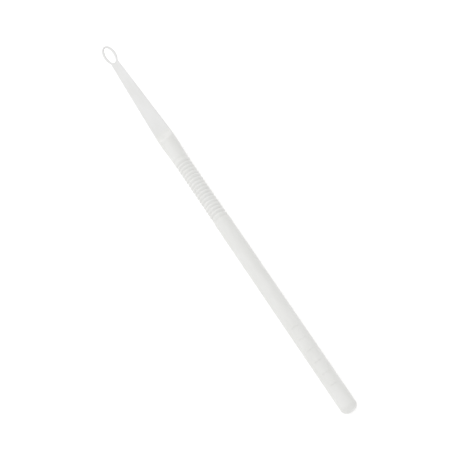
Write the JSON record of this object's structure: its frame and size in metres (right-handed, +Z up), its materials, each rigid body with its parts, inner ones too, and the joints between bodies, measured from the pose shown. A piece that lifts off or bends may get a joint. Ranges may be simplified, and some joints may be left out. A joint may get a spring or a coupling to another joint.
{
  "type": "inoculating loop",
  "caption": "Slim one-piece plastic inoculating loop: small oval loop, flat tapering neck, ringed grip and plain round handle with a domed end.",
  "frame": {"origin": "on the surface that the tool lies on, under the middle of its length and width", "axes": "+X along the tool from the loop's tip to the domed butt, +Y across the flat of the loop, +Z up"},
  "size_m": [0.15, 0.0058, 0.0055],
  "materials": {
    "thin_plastic": "satin, slightly see-through",
    "milky_plastic": "satin, milky"
  },
  "bodies": {
    "root": {"loop_ring": "thin_plastic", "blade_neck": "thin_plastic", "shoulder": "milky_plastic", "grip_core": "milky_plastic", "grip_ribs": "milky_plastic", "handle_shaft": "milky_plastic", "butt_dome": "milky_plastic", "marking_bars": "milky_plastic"}
  },
  "joints": []
}
